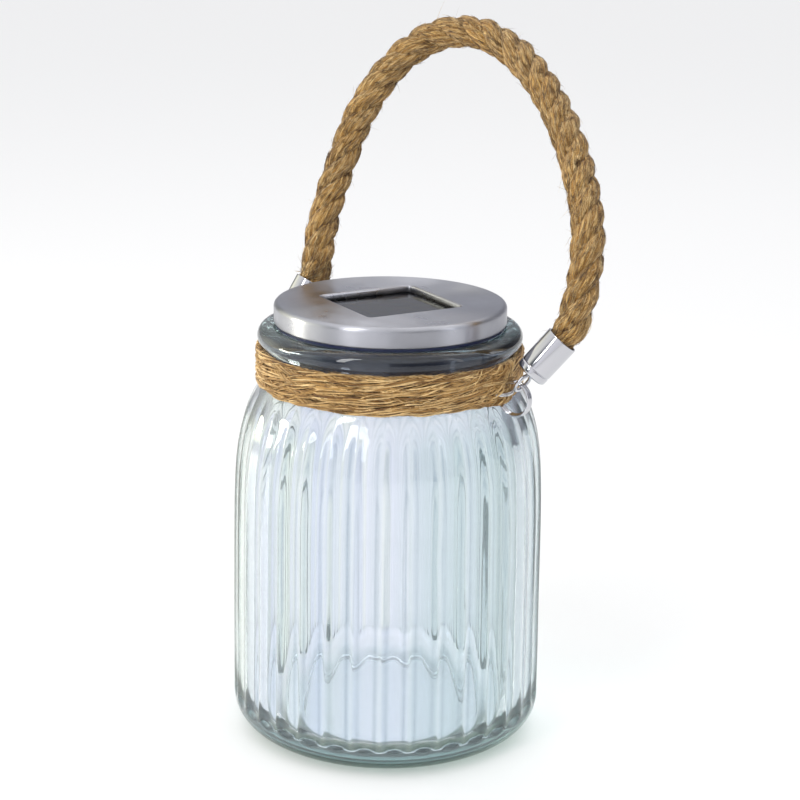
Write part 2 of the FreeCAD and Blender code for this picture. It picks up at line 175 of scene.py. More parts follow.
def grid_piece(name, tubes, uv=None, values=None):
    """A mesh of closed tubes. tubes is an array of (tube, ring, corner, 3) points in millimetres.
    uv is (tube, ring, corner + 1, 2), and values is a name with one number for each point."""
    count, rings, corners, _ = tubes.shape
    t, i, j = np.meshgrid(np.arange(count), np.arange(rings - 1), np.arange(corners), indexing="ij")
    here = t * rings * corners + i * corners
    a, b = here + j, here + (j + 1) % corners
    quads = np.stack([a, b, b + corners, a + corners], axis=-1).reshape(-1, 4)
    ends = []
    for tube in range(count):
        first = tube * rings * corners
        last = first + (rings - 1) * corners
        ends.append(list(range(first + corners - 1, first - 1, -1)))
        ends.append(list(range(last, last + corners)))
    piece = link_mesh(name, tubes, quads.tolist() + ends)
    if uv is not None:
        corner_uv = np.stack([uv[t, i, j], uv[t, i, j + 1], uv[t, i + 1, j + 1], uv[t, i + 1, j]], axis=-2)
        flat = np.concatenate([corner_uv.reshape(-1, 2), np.zeros((sum(map(len, ends)), 2))])
        piece.data.uv_layers.new(name="fibre").data.foreach_set("uv", flat.astype(np.float32).ravel())
    for key, numbers in (values or {}).items():
        attribute = piece.data.attributes.new(key, "FLOAT", "POINT")
        attribute.data.foreach_set("value", np.ravel(numbers).astype(np.float32))
    return piece


def hair_tubes(centre, away, thick, sides):
    """Thin tubes along lines of (hair, ring, 3) points. away is a direction across each line."""
    along = unit(np.gradient(centre, axis=1))
    across = unit(np.cross(along, away))
    other = np.cross(along, across)
    ring = spokes(sides, across[:, :, None], other[:, :, None])
    return centre[:, :, None] + ring * thick[:, :, None, None]


def finish_piece(piece, material, body, slot, *nodes):
    piece.data.materials.append(material)
    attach(piece, body)
    if nodes:
        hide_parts(*nodes)
    return piece


def turned_rings(outline, corners, axis_at, axis):
    """Rings of points from an outline of (radius, height) turned about an axis."""
    side = unit(np.cross((0, 1, 0), axis))
    spoke = spokes(corners, side, np.cross(axis, side))
    outline = np.array(outline, float)
    return axis_at + outline[:, :1, None] * spoke[None] + outline[:, 1:, None] * axis


def rounded(outline, steps=4):
    """Rounds an outline of (radius, height, rounding) corners by an arc-like curve at each corner."""
    line = [np.array(outline[0][:2], float)]
    for before, corner, after in zip(outline, outline[1:], outline[2:]):
        at = np.array(corner[:2], float)
        back = np.array(before[:2]) - at
        on = np.array(after[:2]) - at
        reach = min(corner[2], 0.48 * np.linalg.norm(back), 0.48 * np.linalg.norm(on))
        start = at + unit(back) * reach
        end = at + unit(on) * reach
        for t in np.linspace(0, 1, steps + 1):
            line.append((1 - t) ** 2 * start + 2 * t * (1 - t) * at + t**2 * end)
    line.append(np.array(outline[-1][:2], float))
    return np.array(line)


# ---------- materials


def add_node(tree, kind, inputs=(), **settings):
    """A new shader node. Each input is a value, or another node's output."""
    node = tree.nodes.new(kind)
    for key, value in settings.items():
        setattr(node, key, value)
    for key, value in dict(inputs).items():
        if isinstance(value, bpy.types.NodeSocket):
            tree.links.new(value, node.inputs[key])
        else:
            node.inputs[key].default_value = value
    return node


def add_ramp(tree, factor, *stops):
    """The output of a new colour ramp. Each stop is a place with a colour or a grey."""
    node = add_node(tree, "ShaderNodeValToRGB", {"Fac": factor})
    elements = node.color_ramp.elements
    while len(elements) < len(stops):
        elements.new(0.5)
    for element, (place, color) in zip(elements, stops):
        element.position = place
        element.color = (*color, 1) if isinstance(color, tuple) else (color, color, color, 1)
    return node.outputs["Color"]


class Shade:
    """A Principled material, with short helpers for its nodes."""

    def __init__(self, name, color, roughness, **sockets):
        self.material = bpy.data.materials.new(name)
        self.material.use_nodes = True
        self.tree = self.material.node_tree
        self.shader = self.tree.nodes["Principled BSDF"]
        self.set(Base_Color=(*color, 1), Roughness=roughness, **sockets)

    def set(self, **sockets):
        for key, value in sockets.items():
            self.shader.inputs[key.replace("_", " ")].default_value = value

    def node(self, kind, inputs=(), **settings):
        return add_node(self.tree, kind, inputs, **settings)

    def drive(self, socket, output):
        self.tree.links.new(output, self.shader.inputs[socket])

    def coords(self, scale=(1, 1, 1), turn=0.0, uv=False):
        if uv:
            source = self.node("ShaderNodeUVMap", uv_map="fibre").outputs["UV"]
        else:
            source = self.node("ShaderNodeTexCoord").outputs["Object"]
        inputs = {"Vector": source, "Scale": scale, "Rotation": (0, 0, turn)}
        return self.node("ShaderNodeMapping", inputs).outputs["Vector"]

    def noise(self, coords, scale, detail=3.0, rough=0.55):
        inputs = {"Vector": coords, "Scale": scale, "Detail": detail, "Roughness": rough}
        return self.node("ShaderNodeTexNoise", inputs).outputs["Fac"]

    def value(self, name):
        return self.node("ShaderNodeAttribute", attribute_name=name).outputs["Fac"]

    def ramp(self, factor, *stops):
        return add_ramp(self.tree, factor, *stops)

    def mix(self, factor, a, b, mode="MIX"):
        inputs = {0: factor, 6: a, 7: b}
        return self.node("ShaderNodeMix", inputs, data_type="RGBA", blend_type=mode).outputs[2]

    def maths(self, operation, a, b):
        return self.node("ShaderNodeMath", {0: a, 1: b}, operation=operation).outputs[0]

    def bump(self, height, distance, strength):
        inputs = {"Height": height, "Distance": distance * MM, "Strength": strength}
        return self.node("ShaderNodeBump", inputs).outputs["Normal"]


def jute_material(name, dark, middle, pale, fibre_scale):
    """Twisted plant fibre: streaks along the yarns, painted shade in the hollows between the yarns and
    strands, and patches of other tones.
    """
    shade = Shade(name, middle, 0.82, Sheen_Weight=0.25, Sheen_Roughness=0.5, Specular_IOR_Level=0.25)
    streaks = shade.noise(shade.coords((0.22, 2.6, 1), uv=True), fibre_scale, 4.0, 0.65)
    fine = shade.noise(shade.coords((0.5, 7.0, 1), uv=True), fibre_scale, 2.0, 0.6)
    patches = shade.noise(shade.coords(), 95.0, 2.0)
    tone = shade.maths("ADD", shade.maths("MULTIPLY", streaks, 0.62), shade.maths("MULTIPLY", fine, 0.38))
    color = shade.ramp(tone, (0.36, dark), (0.48, middle), (0.63, pale))
    yellower = shade.mix(1.0, color, (1.06, 0.98, 0.78, 1), "MULTIPLY")
    warm = shade.mix(shade.ramp(patches, (0.38, 0.0), (0.62, 1.0)), color, yellower)
    # Painted shade: darker where relief is low, in the hollows between the yarns and between the strands.
    groove_shade = ((0.0, (0.10, 0.045, 0.014)), (0.5, (0.55, 0.42, 0.26)), (0.9, (1, 1, 1)))
    hollow = shade.ramp(shade.value("relief"), *groove_shade)
    shade.drive("Base Color", shade.mix(1.0, warm, hollow, "MULTIPLY"))
    shade.drive("Normal", shade.bump(tone, 0.35, 0.9))
    return shade.material


def fibre_material(name, dark, middle, pale, spots):
    """Single fibres, each with its own tone. spots is how dark the darker spots on them are, up to 1."""
    shade = Shade(name, middle, 0.7, Sheen_Weight=0.2, Sheen_Roughness=0.5, Specular_IOR_Level=0.3)
    tone = shade.ramp(shade.value("tint"), (0.0, dark), (0.45, middle), (1.0, pale))
    patches = shade.noise(shade.coords(), 330.0, 3.0, 0.6)
    shade.drive("Base Color", shade.mix(shade.ramp(patches, (0.42, 0.0), (0.62, spots)), tone, (*dark, 1)))
    return shade.material


# ---------- laid rope and twine


FIBRE_SIDES = 3
YARN_SIDES = 5


class Line:
    """A smooth line with a frame at each distance along it."""

    # How far to each side of a place its direction is measured.
    REACH = 0.6

    def __init__(self, points, side):
        self.points = np.array(points, float)
        self.side = np.array(side, float)
        steps = np.linalg.norm(np.diff(self.points, axis=0), axis=1)
        self.marks = np.concatenate([[0], np.cumsum(steps)])
        self.length = self.marks[-1]

    def at(self, s):
        return np.stack([np.interp(s, self.marks, self.points[:, k]) for k in range(3)], axis=-1)

    def frame(self, s):
        near = np.clip(s, self.REACH, self.length - self.REACH)
        along = unit(self.at(near + self.REACH) - self.at(near - self.REACH))
        side = unit(self.side - along * (along @ self.side)[..., None])
        return self.at(s), along, side, np.cross(along, side)


class Laid:
    """Strands laid round a line. lay is one turn's length, mid_r a strand's distance from the line,
    strand_r its radius, and twist turns its yarns."""

    def __init__(self, line, strands, lay, mid_r, strand_r, yarns, yarn_depth, phase, seed, twist=1.0):
        self.line = line
        self.strands = strands
        self.lay = lay
        self.mid_r = mid_r
        self.strand_r = strand_r
        self.yarns = yarns
        self.yarn_depth = yarn_depth
        self.phase = phase
        self.seed = seed
        self.yarn_rate = twist * math.atan(2 * math.pi * mid_r / lay) / strand_r

    def squeeze(self, s):
        """How far the rope is pressed in at each place along it."""
        return np.ones_like(s)

    def surface(self, strand, s, around, lift=0.0):
        """Points on a strand, the outward direction there and the height between the yarns, from 0 to 1.
        around is the angle about the strand, from the direction that faces out of the rope."""
        centre, along, side, across = (v[..., None] if v.ndim == s.ndim else v for v in self.line.frame(s))
        slow = noise_1d(s / (1.7 * self.lay), self.seed)
        quick = noise_1d(s / (0.3 * self.lay) + 31 * strand, self.seed + 1)
        wander = 0.3 * slow + 0.12 * quick
        turn = (self.phase + 2 * np.pi * (strand / self.strands + s / self.lay) + wander)[..., None]
        out = np.cos(turn) * side + np.sin(turn) * across
        flank = np.cos(turn) * across - np.sin(turn) * side
        fat = 1 + 0.05 * noise_1d(s / (0.5 * self.lay) + 17 * strand, self.seed + 2)
        squeeze = self.squeeze(s)
        middle = centre + out * (self.mid_r * squeeze)[..., None]
        run = unit(along + flank * (2 * np.pi * self.mid_r / self.lay))
        flank = np.cross(run, out)
        yarn = around + s * self.yarn_rate
        lobe = np.abs(np.cos(yarn * self.yarns / 2)) ** 0.7
        which = np.round(yarn * self.yarns / (2 * np.pi))
        size = 0.75 + 0.35 * noise_1d(which * 7.3 + s / (1.2 * self.lay), self.seed + 3)
        rough = 0.35 * noise_2d(s / (0.05 * self.lay), yarn * 2.2 + 9 * strand, self.seed + 4)
        height = self.yarn_depth * (size * (lobe - 1) + rough)
        radius = (self.strand_r * fat * squeeze + height + lift)[..., None]
        away = 0.96 * np.cos(around)[..., None] * out + 1.04 * np.sin(around)[..., None] * flank
        # relief is low between the yarns and on the sides of a strand that face the other strands; the jute
        # material paints shade there.
        facing = 0.5 + 0.5 * np.cos(around)
        relief = np.clip(0.25 + 0.75 * lobe, 0, 1) * smoothstep(0.12, 0.5, facing)
        return middle + away * radius, unit(away), relief

    def strand_piece(self, name, ring_step, corners):
        """All the strands as one mesh."""
        rings = int(self.line.length / ring_step)
        s = np.linspace(0, self.line.length, rings)[:, None]
        around = (2 * np.pi * np.arange(corners + 1) / corners - np.pi)[None, :]
        tubes, uvs, reliefs = [], [], []
        for strand in range(self.strands):
            points, _, relief = self.surface(strand, s + 0 * around, around + 0 * s)
            tubes.append(points[:, :-1])
            reliefs.append(relief[:, :-1])
            along = s + 97 * strand + 0 * around
            uvs.append(np.stack([along, (around + s * self.yarn_rate) * self.strand_r], axis=-1))
        return grid_piece(name, self.shaped(np.array(tubes)), np.array(uvs), {"relief": np.array(reliefs)})

    def shaped(self, points):
        """A last change to finished points, such as pressing them against what they lie on."""
        return points

    def fibre_piece(self, name, count, length, rings, radius, lift, span, seed, ends=None):
        """Loose fibres that follow the yarns. lift is the usual rise at a fibre's end, and span how far round
        the strand they start."""
        draw = np.random.default_rng(seed)
        low, high = ends or (1.0, self.line.length - 1.0)
        t = np.linspace(0, 1, rings)[None, :]
        strand = draw.integers(0, self.strands, count)[:, None]
        size = draw.uniform(*length, count)[:, None]
        start = draw.uniform(low, high, count)[:, None]
        s = start + (t - 0.5) * size
        turned = draw.uniform(-span, span, count)[:, None]
        drift = draw.normal(0, 0.55, count)[:, None] * (t - 0.5)
        around = turned - (s - start) * self.yarn_rate * draw.uniform(0.3, 1.1, count)[:, None] + drift
        rise = draw.exponential(lift, count)[:, None] * np.abs(2 * t - 1) ** 2
        rise = np.where(draw.random(count)[:, None] < 0.5, rise, rise * (t > 0.5))
        rise = rise + 0.08 * noise_1d(t * 3 + 10 * turned + start, seed + 5)
        inside = (s > 0.3) & (s < self.line.length - 0.3)
        s = np.clip(s, 0.3, self.line.length - 0.3)
        centre = np.zeros((count, rings, 3))
        away = np.zeros((count, rings, 3))
        for k in range(self.strands):
            pick = strand[:, 0] == k
            centre[pick], away[pick], _ = self.surface(k, s[pick], around[pick], rise[pick])
        keep = inside.all(axis=1)
        centre, away, draw_tint = self.shaped(centre[keep]), away[keep], draw.random(count)[keep]
        taper = np.sqrt(np.clip(1.02 - np.abs(2 * t - 1) ** 3, 0, 1))
        thick = radius * draw.uniform(0.6, 1.3, count)[keep][:, None] * taper
        tubes = hair_tubes(centre, away, thick, FIBRE_SIDES)
        return grid_piece(name, tubes, values={"tint": np.repeat(draw_tint, rings * FIBRE_SIDES)})


# ---------- rope handle

# The route's points in the handle's own plane, in metres, upright above the pivots.
ROPE_ROUTE = [
    (-0.05085, 0.02015), (-0.04967, 0.02496), (-0.0531, 0.0355), (-0.0552, 0.0480), (-0.0558, 0.0640),
    (-0.0556, 0.0800), (-0.0525, 0.0955), (-0.0448, 0.1100), (-0.0325, 0.1203), (-0.0165, 0.1233),
    (0.0000, 0.1198), (0.0165, 0.1102), (0.0310, 0.0980), (0.0442, 0.0830), (0.0555, 0.0665),
    (0.0626, 0.0510), (0.0656, 0.0365), (0.06654, 0.02208), (0.06417, 0.01797),
]
# The swing's axis runs along X through this y and z, and the handle leans back from it by LEAN.
PIVOT_Y = 4.75
PIVOT_Z = 134.0
LEAN = math.radians(28)
LEAN_UP = np.array([0, math.sin(LEAN), math.cos(LEAN)])
LEAN_FRONT = np.array([0, -math.cos(LEAN), math.sin(LEAN)])
# On each side: how far out the eye is, where round the jar, the ferrule's tilt, and the eye loop's height.
EYE_REACH = {"right": 54.0, "left": 56.0}
AROUND = {"right": math.radians(5.05), "left": math.radians(175.13)}
TILT = {"right": math.radians(30), "left": math.radians(13.8)}
EYE_DROP = {"right": 0.8, "left": 0.6}
FERRULE_START = 4.7
FERRULE_LEN = 16.0
FERRULE_R = 5.75
FERRULE_BORE_R = 5.2
# How far the rope goes into each ferrule.
PLUG = 6.0


def leaned(p, q):
    """A point of the handle's plane, p along X and q up it, where it stands leaned back."""
    return np.array([p, PIVOT_Y, PIVOT_Z]) + q * LEAN_UP


def ferrule_axis(side):
    return math.sin(TILT[side]) * np.array([1.0, 0, 0]) + math.cos(TILT[side]) * LEAN_UP


def eye_point(side):
    return leaned(EYE_REACH[side] * math.cos(AROUND[side]), 0)


def rope_mouth(side):
    return eye_point(side) + ferrule_axis(side) * (FERRULE_START + FERRULE_LEN)


def nurbs_points(points):
    """The points of the smooth NURBS line that has these control points, in metres."""
    curve = bpy.data.curves.new("route", "CURVE")
    curve.dimensions = "3D"
    curve.resolution_u = 40
    spline = curve.splines.new("NURBS")
    spline.points.add(len(points) - 1)
    for point, place in zip(spline.points, points):
        point.co = (*place, 1)
    spline.order_u = 3
    spline.use_endpoint_u = True
    holder = bpy.data.objects.new("route", curve)
    line = bpy.data.meshes.new_from_object(holder)
    found = np.array([v.co for v in line.vertices])
    bpy.data.objects.remove(holder)
    bpy.data.curves.remove(curve)
    bpy.data.meshes.remove(line)
    return found


class Handle(Laid):
    """The rope, which is pressed in where it enters the ferrules."""

    def squeeze(self, s):
        near_end = np.minimum(s, self.line.length - s)
        return 1 - 0.2 * (1 - smoothstep(PLUG - 0.5, PLUG + 4, near_end))


rope_route = nurbs_points([leaned(p / MM, q / MM) * MM for p, q in ROPE_ROUTE])
rope_line = np.vstack([
    rope_mouth("left") - ferrule_axis("left") * PLUG,
    rope_route / MM,
    rope_mouth("right") - ferrule_axis("right") * PLUG,
])
ROPE_DARK = (0.075, 0.032, 0.007)
ROPE_MIDDLE = (0.46, 0.275, 0.095)
ROPE_PALE = (0.90, 0.66, 0.31)
rope_jute = jute_material("rope_jute", ROPE_DARK, ROPE_MIDDLE, ROPE_PALE, 1.0)
ROPE_TONES = (0.085, 0.036, 0.008), (0.47, 0.285, 0.10), (1.0, 0.78, 0.42)
rope_fibre = fibre_material("rope_fibre", *ROPE_TONES, spots=0.95)
handle = Handle(
    Line(rope_line, LEAN_FRONT), strands=3, lay=29.0, mid_r=2.66, strand_r=3.26,
    yarns=9, yarn_depth=0.66, phase=0.4, seed=11, twist=2.1,
)
rope = handle.strand_piece("rope", ring_step=0.52, corners=58)
finish_piece(rope, rope_jute, "handle", "rope_jute", "rope_handle")
# Loose fibres: name, count, shortest and longest, radius, lift, span, seed, and where along the rope.
ROPE_FUZZ = [
    ("rope_fibres_a", 3800, (5, 16), 0.085, 0.16, 1.9, 5, None),
    ("rope_fibres_b", 3800, (4, 12), 0.07, 0.28, 1.9, 7, None),
    ("rope_hairs", 900, (4, 11), 0.045, 0.9, 2.2, 6, None),
    ("rope_tuft", 420, (3, 6), 0.075, 0.6, 2.4, 8, (PLUG, PLUG + 5)),
]
rope_fuzz = [
    handle.fibre_piece(name, count, length, 9, thick, lift, span, seed, where)
    for name, count, length, thick, lift, span, seed, where in ROPE_FUZZ
]
for piece in rope_fuzz:
    finish_piece(piece, rope_fibre, "handle", "rope_jute")

# ---------- jar

FLUTES = 35
FLUTE_CORNERS = 14
FLUTE_LOW_Z = 14.0
FLUTE_FIRST = math.radians(5.05)
# How round the ridges between the flutes are.
RIDGE = 0.012
# The glass from the middle of its base up, then down the inside, as (radius, height).
JAR_OUTSIDE = [
    (0.6, 1.5), (20.0, 1.5), (34.0, 1.45), (37.4, 1.2), (39.2, 0.45), (41.2, 0.05), (44.0, 0.02),
    (47.2, 0.25), (50.3, 1.35), (53.0, 3.6), (54.7, 6.4), (55.35, 9.6), (55.42, 14.0), (55.4, 22.0),
    (55.2, 50.0), (54.95, 75.0), (54.6, 90.0), (54.0, 99.0), (52.9, 107.0), (51.2, 114.0),
    (48.9, 120.0), (46.6, 124.2), (44.9, 126.7), (43.9, 128.9), (43.5, 131.5), (43.5, 137.5),
    (43.7, 139.3), (45.1, 140.5), (46.15, 142.0), (46.25, 143.9), (45.3, 145.7), (43.7, 146.6),
    (42.2, 146.95), (41.0, 147.0), (40.0, 146.8), (39.4, 146.2), (39.2, 145.2),
]
JAR_INSIDE = [
    (39.2, 143.0), (39.2, 132.0), (39.5, 127.8), (40.8, 124.4), (43.2, 121.0), (46.3, 116.6),
    (48.6, 111.0), (50.2, 103.5), (51.0, 93.0), (51.4, 75.0), (51.8, 45.0), (52.1, 20.0), (51.7, 13.2),
    (50.2, 9.6), (47.4, 7.3), (43.5, 6.4), (36.0, 6.2), (20.0, 6.2), (0.6, 6.2),
]


def flute_place(angle, z):
    """Which flute each place is in, counted round the jar, with the fraction across it."""
    wander = 0.03 * noise_2d(angle * 6 / np.pi, z / 26, 21, wrap_x=12) * (1 + 2 * smoothstep(95, 120, z))
    return angle * FLUTES / (2 * np.pi) + wander + 0.5


def flute_depth(angle, radius, z):
    """How deep the flutes are cut: broad hollows with narrow round ridges, and a round lower end."""
    across = 2 * np.abs(flute_place(angle, z) % 1 - 0.5)
    half_width = np.pi * radius / FLUTES
    below = np.clip((FLUTE_LOW_Z - z) / half_width, 0, 2)
    rho = np.clip(np.hypot(across, below), 0, 1)
    hollow = np.cos(np.pi / 2 * rho) ** 2
    hollow = (np.sqrt(hollow + RIDGE) - math.sqrt(RIDGE)) / (math.sqrt(1 + RIDGE) - math.sqrt(RIDGE))
    depth = 0.95 + 0.35 * (1 - smoothstep(FLUTE_LOW_Z, 26, z)) - 0.25 * smoothstep(92, 112, z)
    return depth * hollow * (1 - smoothstep(115, 127, z))


def jar_shell():
    """The jar's rings of (radius, height) and their angles, and how many of the rings are outside."""
    turn = np.arange(FLUTES * FLUTE_CORNERS) / FLUTE_CORNERS
    part = turn - np.floor(turn) - 0.5
    turn = np.floor(turn) + 0.5 + part - 0.055 * np.sin(4 * np.pi * part)
    angle = (2 * np.pi * turn / FLUTES)[None, :]
    outside = catmull(JAR_OUTSIDE, 4)
    run = np.gradient(outside, axis=0)
    normal = unit(np.stack([run[:, 1], -run[:, 0]], axis=-1))
    radius, z = outside[:, :1], outside[:, 1:]
    depth = flute_depth(angle, radius, z + 0 * angle) * (z > 2)
    ripple = 0.05 * noise_2d(angle * 8 / np.pi, z / 15, 3, wrap_x=16) * smoothstep(6, 30, z)
    cut = depth + ripple
    outer = np.stack([radius - cut * normal[:, :1], z - cut * normal[:, 1:]], axis=-1)
    inside = catmull(JAR_INSIDE, 3)
    radius, z = inside[:, :1], inside[:, 1:]
    wave = 0.16 * noise_2d(angle * 10 / np.pi, z / 34, 4, wrap_x=20) + 0.10 * np.cos(angle * FLUTES)
    wave = wave * smoothstep(9, 30, z) * (1 - smoothstep(112, 124, z))
    inner = np.stack([radius + wave, z + 0 * wave], axis=-1)
    return np.vstack([outer, inner]), angle, len(outer)


def jar_piece():
    """The jar, with the values that its material reads: a random tone for each flute mixed with painted
    light from side to side, a painted highlight on the ridges, painted shade on the flanks, the feet and
    the outer bottom edge, and the neck, which is clearer glass with painted shade."""
    shell, angle, outside_rings = jar_shell()
    around = angle + FLUTE_FIRST
    radius, height = shell[..., 0], shell[..., 1]
    place = flute_place(angle, height)
    tones = np.random.default_rng(8).uniform(0, 1, FLUTES)
    fluted = smoothstep(9, 13, height) * (1 - smoothstep(112, 124, height))
    own = tones[np.floor(place).astype(int) % FLUTES]
    across = 1 - 2 * np.abs(place % 1 - 0.5)
    low = np.clip((FLUTE_LOW_Z - height) * FLUTES / (np.pi * radius), 0, 2)
    # Painted shade in a band round each flute's rounded lower end.
    foot = np.exp(-(((np.hypot(1 - across, low) - 0.86) / 0.13) ** 2)) * smoothstep(0.4, 0.75, low)
    # A painted highlight down the middle of each ridge.
    ridge_highlight = np.exp(-((across / 0.12) ** 2)) * fluted * (1 - foot)
    # Painted shade along each flute's flanks, stronger on some flutes than on others.
    flank = np.exp(-(((across - 0.36) / 0.13) ** 2)) * fluted * (0.45 + 0.55 * own)
    # Painted light: the flutes on the camera's left are lighter and creamier, those on its right darker and
    # greener; own adds a random tone for each flute.
    leftward = -np.sin(around - CAMERA_SIDE) + 0 * height
    tone = 0.5 + (0.42 * leftward + 0.55 * (own - 0.5)) * fluted
    # The painted shade of the feet and the heel is strongest on the side that faces the camera.
    facing = 0.15 + 0.85 * smoothstep(-0.1, 0.5, np.cos(around - CAMERA_SIDE))
    foot = foot * facing
    # Painted shade round the outside of the heel, where the jar meets the floor.
    heel_shade = (1 - smoothstep(4.0, 7.4, height)) * smoothstep(40, 43, radius) * facing
    # The neck is clearer glass, and also holds painted navy shade, which is weaker on the camera's left.
    neck = smoothstep(124, 129, height) * (1 - 0.75 * smoothstep(0.78, 0.97, leftward))
    for value in (ridge_highlight, flank, foot, heel_shade):
        value[outside_rings:] = 0
    values = {"ridge_highlight": ridge_highlight, "flank": flank, "foot": foot, "tone": tone, "heel_shade": heel_shade, "neck": neck}
    return grid_piece("jar", polar(radius, around, height)[None], values=values)


# How much light goes through the body, which is slightly milky, and through the neck.
BODY_CLEAR = 0.93
NECK_CLEAR = 0.995
# The darkest colour of the painted shade on each part of the glass.
FLANK_SHADE_COLOR = (0.42, 0.49, 0.55)
PAINTED_SHADE = {"foot": (0.22, 0.26, 0.27), "heel_shade": (0.13, 0.18, 0.13), "neck": (0.78, 0.83, 0.92)}


def glass_material():
    """Faintly milky glass, green in its thickness, with random flute tones and painted light and shade. Lamps
    shine through it.
    """
    shade = Shade("jar_glass", (0.86, 0.90, 0.96), 0.0, IOR=1.5, Transmission_Weight=BODY_CLEAR)
    # Painted light from side to side, from green-grey on the camera's right to cream on its left, mixed with
    # each flute's random tone.
    tone = shade.ramp(
        shade.value("tone"),
        (0.0, (0.77, 0.84, 0.86)),
        (0.3, (0.83, 0.87, 0.92)),
        (0.5, (0.94, 0.94, 1.0)),
        (0.62, (0.82, 0.85, 0.95)),
        (0.8, (0.96, 0.975, 0.93)),
        (1.0, (0.90, 0.965, 0.90)),
    )
    # Painted shade on the flanks; then a painted highlight turns each ridge white.
    flank = shade.ramp(shade.value("flank"), (0.0, (1, 1, 1)), (1.0, FLANK_SHADE_COLOR))
    tinted = shade.mix(shade.value("ridge_highlight"), shade.mix(1.0, tone, flank, "MULTIPLY"), (1, 1, 1, 1))
    # Painted shade on the feet, the heel and the neck.
    for name, color in PAINTED_SHADE.items():
        shadow = shade.ramp(shade.value(name), (0.0, (1, 1, 1)), (1.0, color))
        tinted = shade.mix(1.0, tinted, shadow, "MULTIPLY")
    shade.drive("Base Color", tinted)
    shade.drive("Transmission Weight", shade.ramp(shade.value("neck"), (0.0, BODY_CLEAR), (1.0, NECK_CLEAR)))
    output = shade.tree.nodes["Material Output"]
    absorb = shade.node("ShaderNodeVolumeAbsorption", {"Color": (0.28, 0.62, 0.56, 1), "Density": 15.0})
    shade.tree.links.new(absorb.outputs[0], output.inputs["Volume"])
    clear = shade.node("ShaderNodeBsdfTransparent", {"Color": (0.97, 0.98, 0.98, 1)})
    path = shade.node("ShaderNodeLightPath")
    blend = shade.node("ShaderNodeMixShader", {"Fac": path.outputs["Is Shadow Ray"]})
    shade.tree.links.new(shade.shader.outputs[0], blend.inputs[1])
    shade.tree.links.new(clear.outputs[0], blend.inputs[2])
    shade.tree.links.new(blend.outputs[0], output.inputs["Surface"])
    return shade.material


finish_piece(jar_piece(), glass_material(), "jar", "jar_glass", "glass_jar")

# ---------- neck twine

TWINE_MID_R = 45.1
TWINE_LOW_Z = 128.2
TWINE_PITCH = 3.38
TWINE_TURNS = 4
TWINE_TOP_Z = TWINE_LOW_Z + (TWINE_TURNS - 1) * TWINE_PITCH
# How far round the jar the twine takes to step up to its next turn.
STEP_UP = math.radians(32)


def twine_points():
    """Turns that lie level and step up beside the right-hand ring."""
    angle = np.arange(0, TWINE_TURNS * 2 * np.pi - STEP_UP, 0.012) + STEP_UP
    turn = np.floor(angle / (2 * np.pi))
    within = angle - turn * 2 * np.pi
    height = (turn + smoothstep(0, STEP_UP, within) - 1) * (1 - 0.06 * np.sin(angle - CAMERA_SIDE) ** 2)
    slack = 0.22 * noise_1d(angle * 2.1, 41) + 0.10 * noise_1d(angle * 7, 42)
    z = TWINE_LOW_Z + TWINE_PITCH * height + slack
    radius = TWINE_MID_R + 0.12 * noise_1d(angle * 3.3, 43)
    return polar(radius, angle, z)


class Twine(Laid):
    """The twine round the neck, pressed flat against the glass."""

    def shaped(self, points):
        outline = catmull(JAR_OUTSIDE, 4)
        outline = outline[(outline[:, 1] > 100) & (outline[:, 1] < 142)]
        glass = np.interp(points[..., 2], outline[:, 1], outline[:, 0]) + 0.06
        radius = np.hypot(points[..., 0], points[..., 1])
        grow = np.maximum(radius, glass) / radius
        return np.stack([points[..., 0] * grow, points[..., 1] * grow, points[..., 2]], axis=-1)


twine_jute = jute_material("twine_jute", (0.13, 0.062, 0.016), (0.47, 0.29, 0.11), (0.80, 0.57, 0.28), 1.6)
TWINE_TONES = (0.13, 0.055, 0.012), (0.50, 0.285, 0.088), (0.93, 0.67, 0.32)
twine_fibre = fibre_material("twine_fibre", *TWINE_TONES, spots=0.35)
twine = Twine(
    Line(twine_points(), (0, 0, 1)), strands=2, lay=40.0, mid_r=0.62, strand_r=1.2,
    yarns=6, yarn_depth=0.5, phase=0.0, seed=51, twist=-2.0,
)
twine_body = twine.strand_piece("twine", ring_step=0.8, corners=30)
finish_piece(twine_body, twine_jute, "jar", "twine_jute", "neck_twine")
for name, count, length, thick, lift, seed in (
    ("twine_fibres_a", 4700, (4, 13), 0.085, 0.16, 55),
    ("twine_fibres_b", 4700, (3, 10), 0.07, 0.3, 56),
    ("twine_hairs", 1400, (3, 8), 0.045, 0.6, 57),
):
    fuzz = twine.fibre_piece(name, count, length, 7, thick, lift, 2.6, seed)
    finish_piece(fuzz, twine_fibre, "jar", "twine_jute")


def band_radius(z):
    """The outside of the wound band, which follows the turns."""
    return TWINE_MID_R + 1.15 + 0.5 * np.abs(np.cos(np.pi * (z - TWINE_LOW_Z) / TWINE_PITCH))


